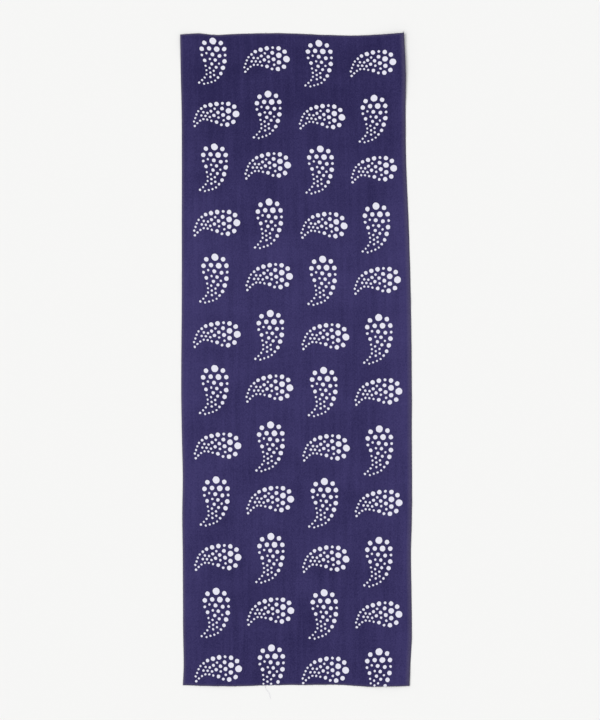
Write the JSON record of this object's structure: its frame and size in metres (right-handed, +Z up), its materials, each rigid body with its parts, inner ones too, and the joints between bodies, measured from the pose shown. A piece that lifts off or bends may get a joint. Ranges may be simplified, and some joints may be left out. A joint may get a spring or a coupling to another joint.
{
  "type": "tenugui towel",
  "caption": "Flat plain-weave cotton hand towel with selvedged sides and plain cut ends, dyed indigo with undyed dots, lying face up.",
  "frame": {"origin": "middle of the cloth's box, on the surface that it lies on", "axes": "+X across the width from the left selvedge to the right, +Y along the length to the top end, +Z up out of the face"},
  "size_m": [0.356, 1.0034, 0.0049],
  "materials": {
    "cloth": "matte"
  },
  "bodies": {
    "root": {"cloth": "cloth"}
  },
  "joints": []
}
